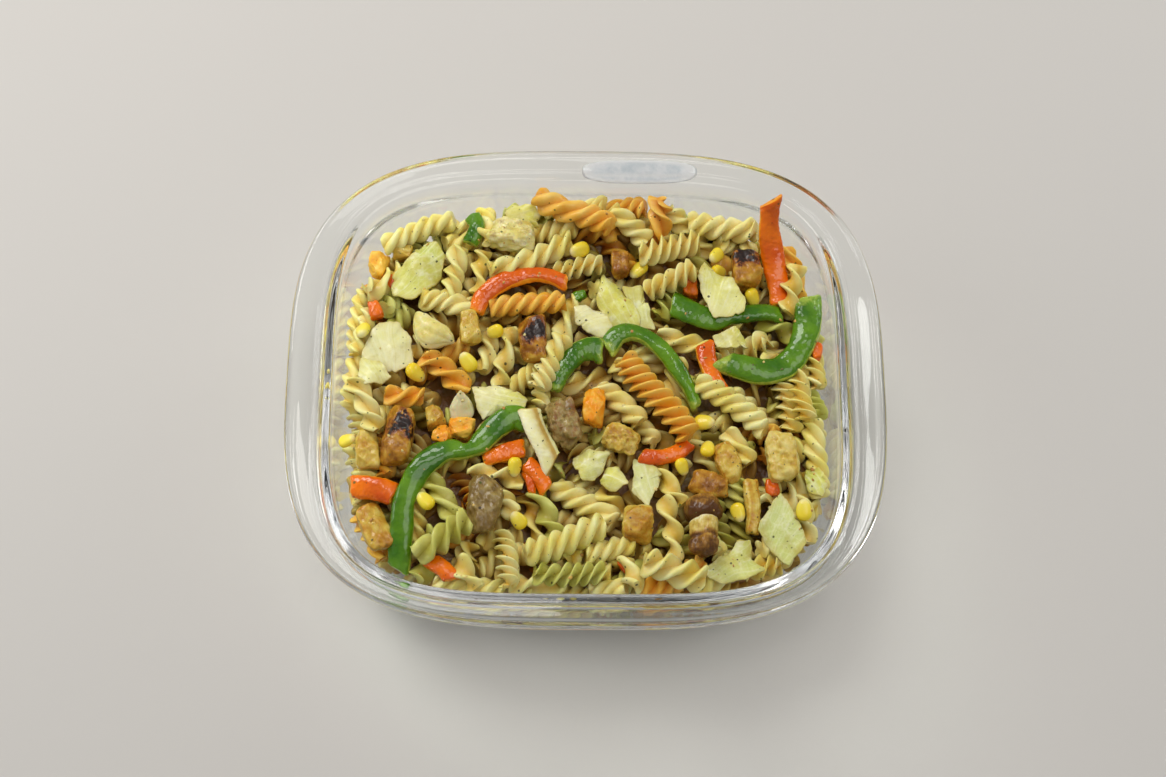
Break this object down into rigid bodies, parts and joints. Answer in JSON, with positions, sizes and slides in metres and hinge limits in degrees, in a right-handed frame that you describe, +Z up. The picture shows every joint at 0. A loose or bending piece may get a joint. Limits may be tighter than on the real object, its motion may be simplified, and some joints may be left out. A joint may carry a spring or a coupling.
{
  "type": "glass casserole dish of fusilli pasta with vegetables",
  "caption": "Clear glass oblong casserole dish heaped with three-colour fusilli, sweetcorn, pepper strips, cabbage, mushroom and roasted vegetable chunks.",
  "frame": {"origin": "middle of the dish's underside, on the surface it stands on", "axes": "+X along the dish's long side, +Y towards the back, where the upright pepper strip leans, +Z up"},
  "size_m": [0.26, 0.2246, 0.0773],
  "materials": {
    "glass": "clear polished",
    "pasta": "moist, lightly oiled",
    "green_pepper": "glossy skin",
    "red_pepper": "glossy skin",
    "carrot": "moist",
    "cabbage": "moist, thin",
    "roasted": "browned, oiled",
    "mushroom": "moist, browned"
  },
  "bodies": {
    "root": {"dish": "glass", "pasta_heap": "pasta", "cabbage_over_pepper": "cabbage", "cabbage_rib": "cabbage", "pepper_green_front": "green_pepper", "pepper_green_right": "green_pepper", "pepper_green_arch": "green_pepper", "pepper_red_arch": "red_pepper", "cabbage_white_middle": "cabbage", "cabbage_yellow_middle": "cabbage", "cabbage_pale_middle": "cabbage", "cabbage_square": "cabbage", "pepper_green_dark": "green_pepper", "pepper_green_thin": "green_pepper", "pepper_green_back": "green_pepper", "pepper_red_upright": "red_pepper", "cabbage_diamond": "cabbage", "cabbage_curly_front": "cabbage", "cabbage_white_left": "cabbage", "cabbage_cream_left": "cabbage", "cabbage_pale_left": "cabbage", "onion_chunk": "cabbage", "cabbage_green_back_left": "cabbage", "cabbage_back": "cabbage", "speckled_chunk": "roasted", "onion_cap": "cabbage", "carrot_cube_right": "carrot", "carrot_cube_left": "carrot", "roasted_cube_left": "roasted", "charred_cube": "roasted", "charred_wedge": "roasted", "roasted_wedge_left": "roasted", "pepper_red_band": "red_pepper", "roasted_slice_left": "roasted", "grey_chunk": "mushroom", "carrot_middle": "carrot", "cabbage_lobe_front": "cabbage", "cabbage_shard_front": "cabbage", "cabbage_clear_front": "cabbage", "roasted_chunk_middle": "roasted", "pepper_red_middle": "red_pepper", "pepper_red_under_green": "red_pepper", "pepper_red_end": "red_pepper", "pepper_red_right": "red_pepper", "pepper_red_front": "red_pepper", "dark_topped_cube": "roasted", "mushroom_right": "mushroom", "cabbage_yellow_right": "cabbage", "mushroom_whole": "mushroom", "roasted_cube_front": "roasted", "roasted_oval": "roasted", "roasted_stem": "roasted", "roasted_chunk_front": "roasted", "mushroom_grey": "mushroom", "orange_cube_back_left": "carrot", "roasted_cube_back_left": "roasted", "roasted_cube_back": "roasted", "roasted_cube_middle_left": "roasted", "roasted_sliver_right": "red_pepper"}
  },
  "joints": []
}
